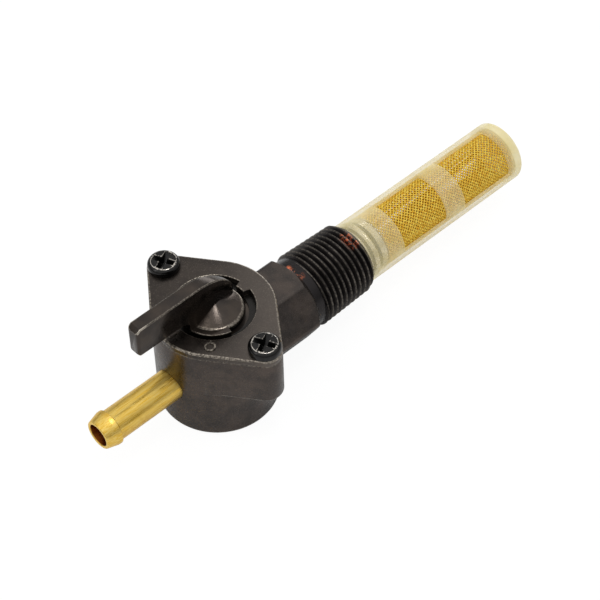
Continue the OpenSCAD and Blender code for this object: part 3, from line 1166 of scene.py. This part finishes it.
def brass_finish():
    """Turned brass, polished along its length and tarnished inside its bore."""
    look = Finish("turned_brass")
    streak = look.noise(0.28, detail=3, stretch=(14, 1, 1))
    cloud = look.noise(2.2, detail=3)
    colour = look.mix(look.spread(streak, 0.3, 0.7), (0.84, 0.52, 0.07), (0.96, 0.70, 0.20))
    colour = look.mix(look.spread(cloud, 0.5, 0.75, 0, 0.35), colour, (0.66, 0.34, 0.03))
    across = look.vector_math("MULTIPLY", look.offset(), (0, 1, 1))
    from_axis = look.vector_math("LENGTH", across)
    bore = look.spread(from_axis, TUBE_BORE_R + 0.12, TUBE_BORE_R + 0.02)
    colour = look.mix(bore, colour, TARNISH)
    look.set(base_color=colour, metallic=1.0, roughness=look.spread(streak, 0.3, 0.7, 0.26, 0.38))
    look.bump(streak, 0.012, 0.3)
    return look


def nylon_finish():
    """Milky translucent nylon, denser where it is thick or seen edge on, with a faint painted
    glow.
    """
    look = Finish("milky_nylon")
    cloud = look.noise(4.0, detail=3)
    colour = look.mix(look.spread(cloud, 0.35, 0.7), (0.83, 0.72, 0.36), (0.91, 0.83, 0.52))
    look.set(base_color=colour, roughness=look.spread(look.noise(1.0), 0.3, 0.7, 0.28, 0.42))
    look.bump(look.noise(1.6, detail=2), 0.06, 0.4)
    density = look.spread(look.facing(), 0.15, 0.95, 0.2, 0.6)
    along = look.separate("X")
    collar = place((NOSE_END, 0, 0)).x / MM
    end = place((FILTER_END, 0, 0)).x / MM
    at_collar = look.spread(along, collar + 1.5, collar - 1.0, 0, 0.25)
    at_end = look.spread(along, end - 3.0, end - 2.0, 0, 0.75)
    density = look.math("MAXIMUM", density, look.math("MAXIMUM", at_collar, at_end))
    # The weak emission is a painted glow that stands in for light scattered through the wall.
    look.set(alpha=density, emission_color=colour, emission_strength=0.1)
    return look


def gauze_finish():
    """Bright drawn brass wire with small differences from wire to wire."""
    look = Finish("brass_gauze_wire")
    share = look.spread(look.noise(0.6, detail=2), 0.35, 0.65)
    colour = look.mix(share, (0.84, 0.50, 0.03), (1.0, 0.76, 0.12))
    rough = look.spread(look.noise(0.9), 0.3, 0.7, 0.6, 0.75)
    look.set(base_color=colour, metallic=0.3, roughness=rough)
    return look


def rubber_finish():
    """Matt nitrile rubber with moulding grain."""
    look = Finish("nitrile")
    colour = look.mix(look.noise(1.5, detail=3), (0.014, 0.014, 0.015), (0.034, 0.033, 0.033))
    look.set(base_color=colour, roughness=look.spread(look.noise(0.7), 0.3, 0.7, 0.6, 0.8))
    look.bump(look.noise(0.2, detail=3), 0.02, 0.4)
    return look


def spring_finish():
    """Brushed spring steel, near black: partly the steel's own dark colour, partly painted shade
    for its place under the cover.
    """
    look = Finish("brushed_spring_steel")
    grain = look.noise(0.15, detail=3, stretch=(8, 1, 1))
    # Near-black colour: partly the steel's own, partly painted shade under the cover plate.
    colour = look.mix(grain, (0.02, 0.019, 0.018), (0.05, 0.047, 0.044))
    look.set(base_color=colour, metallic=1.0, roughness=look.spread(grain, 0.3, 0.7, 0.25, 0.4))
    look.bump(grain, 0.01, 0.3)
    return look


def carry_over(node, material):
    """Gives a CAD node that is shown as it is a procedural material."""
    piece = frame["nodes"][node]
    if not piece.material_slots:
        piece.data.materials.append(material)
    for slot in piece.material_slots:
        slot.material = material


# ---- Stage ----

def make_floor():
    """Plain pale floor under the body."""
    size = 6.0
    level = (BODY_BOTTOM - 0.02) * MM
    mesh = bpy.data.meshes.new("floor")
    square = [(-size, -size), (size, -size), (size, size), (-size, size)]
    mesh.from_pydata([(x, y, level) for x, y in square], [], [(0, 1, 2, 3)])
    floor = bpy.data.objects.new("floor", mesh)
    bpy.context.scene.collection.objects.link(floor)
    look = Finish("pale_floor")
    colour = look.mix(look.noise(40.0, detail=2), (0.84, 0.84, 0.84), (0.87, 0.87, 0.87))
    look.set(base_color=colour, roughness=0.85)
    whiten_for_camera(look)
    mesh.materials.append(look.material)


def whiten_for_camera(look):
    """Lets the camera see a near-white floor, while reflections keep its true shade."""
    glow = look.nodes.new("ShaderNodeEmission")
    glow.inputs["Strength"].default_value = 1.06
    path = look.nodes.new("ShaderNodeLightPath")
    blend = look.nodes.new("ShaderNodeMixShader")
    share = look.math("MULTIPLY", path.outputs["Is Camera Ray"], 0.88)
    look.link(share, blend.inputs[0])
    look.link(look.surface.outputs[0], blend.inputs[1])
    look.link(glow.outputs[0], blend.inputs[2])
    look.link(blend.outputs[0], look.nodes["Material Output"].inputs["Surface"])


def make_world():
    """Soft room light: bright overhead, dimmer low down."""
    world = bpy.data.worlds.new("soft_room")
    bpy.context.scene.world = world
    world.use_nodes = True
    nodes = world.node_tree.nodes
    links = world.node_tree.links
    coordinates = nodes.new("ShaderNodeTexCoord")
    split = nodes.new("ShaderNodeSeparateXYZ")
    ramp = nodes.new("ShaderNodeValToRGB")
    ramp.color_ramp.elements[0].position = 0.0
    ramp.color_ramp.elements[0].color = (0.21, 0.21, 0.212, 1)
    ramp.color_ramp.elements[1].position = 0.8
    ramp.color_ramp.elements[1].color = (1.0, 1.0, 1.0, 1)
    links.new(coordinates.outputs["Generated"], split.inputs[0])
    links.new(split.outputs["Z"], ramp.inputs["Fac"])
    links.new(ramp.outputs["Color"], nodes["Background"].inputs["Color"])
    nodes["Background"].inputs["Strength"].default_value = 0.9


def area_light(name, azimuth, elevation, distance, size, brightness):
    """Soft light aimed at the lever axis, with its azimuth from +X and surface brightness."""
    data = bpy.data.lights.new(name, "AREA")
    data.shape = "RECTANGLE"
    data.size, data.size_y = size
    data.energy = brightness * math.pi * size[0] * size[1]
    light = bpy.data.objects.new(name, data)
    bpy.context.scene.collection.objects.link(light)
    towards = direction(azimuth, elevation)
    light.location = towards * distance
    light.rotation_mode = "QUATERNION"
    light.rotation_quaternion = towards.to_track_quat("Z", "Y")


def direction(azimuth, elevation):
    """Unit vector towards an azimuth from +X and an elevation, both in degrees."""
    a = math.radians(azimuth)
    e = math.radians(elevation)
    return Vector((math.cos(a) * math.cos(e), math.sin(a) * math.cos(e), math.sin(e)))


def make_lights():
    area_light("overhead", -92, 80, 0.6, (0.13, 0.13), 9.0)
    area_light("back", 32, 16, 0.8, (0.4, 0.22), 2.4)
    area_light("left", 165, 35, 0.8, (0.2, 0.4), 1.5)


def make_camera():
    """Camera above the spigot's end, on the -Y side."""
    azimuth = -132.06
    elevation = 48.57
    roll = -1.458
    distance = 409.85
    aim = (22.2, -1.69, 0)
    data = bpy.data.cameras.new("camera")
    data.lens = 115.24
    data.sensor_width = 36
    data.clip_start = 0.01
    data.clip_end = 50
    camera = bpy.data.objects.new("camera", data)
    bpy.context.scene.collection.objects.link(camera)
    back = direction(azimuth, elevation)
    camera.location = place(aim) + back * distance * MM
    camera.rotation_mode = "QUATERNION"
    tilt = Matrix.Rotation(math.radians(roll), 3, "Z").to_quaternion()
    camera.rotation_quaternion = back.to_track_quat("Z", "Y") @ tilt
    bpy.context.scene.camera = camera


# ---- Assembly ----

def build_pieces():
    """Builds every piece, with its material, its body and the CAD node it stands for."""
    body_look = body_finish()
    thread_look = thread_finish()
    add_copper(body_look, [
        ((21.9, 1.5, 8.2), 1.0, 1.0),
        ((22.0, 0.1, 8.2), 0.8, 0.9),
        ((22.1, -1.9, 8.0), 1.5, 0.3),
    ])
    add_copper(thread_look, [
        ((36.7, -0.8, 8.3), 2.0, 1.0),
        ((36.8, -2.8, 7.8), 2.0, 1.0),
    ])
    finish_piece(make_body(), body_look.material, "tap_body", "valve_body")
    finish_piece(make_thread(), thread_look.material, "tap_body", "valve_body")
    finish_piece(make_cover(), cover_finish().material, "tap_body", "cover_plate")
    finish_piece(make_lever(), lever_finish().material, "lever", "lever")
    steel = screw_finish().material
    for side in (-1, 1):
        finish_piece(make_screw(side), steel, "tap_body", "cover_screws")
    brass = brass_finish().material
    finish_piece(make_spigot(), brass, "tap_body", "outlet_spigot")
    nylon = nylon_finish().material
    finish_piece(make_filter_frame(), nylon, "tap_body", "filter_frame")
    wires = gauze_finish().material
    finish_piece(make_gauze(), wires, "tap_body", "filter_mesh", sharp=180)
    carry_over("standpipe", brass)
    rubber = rubber_finish().material
    carry_over("rotor_o_ring", rubber)
    carry_over("seat_gasket", rubber)
    carry_over("wave_spring", spring_finish().material)


build_pieces()
make_floor()
make_world()
make_lights()
make_camera()
bpy.context.scene.view_settings.view_transform = "Standard"
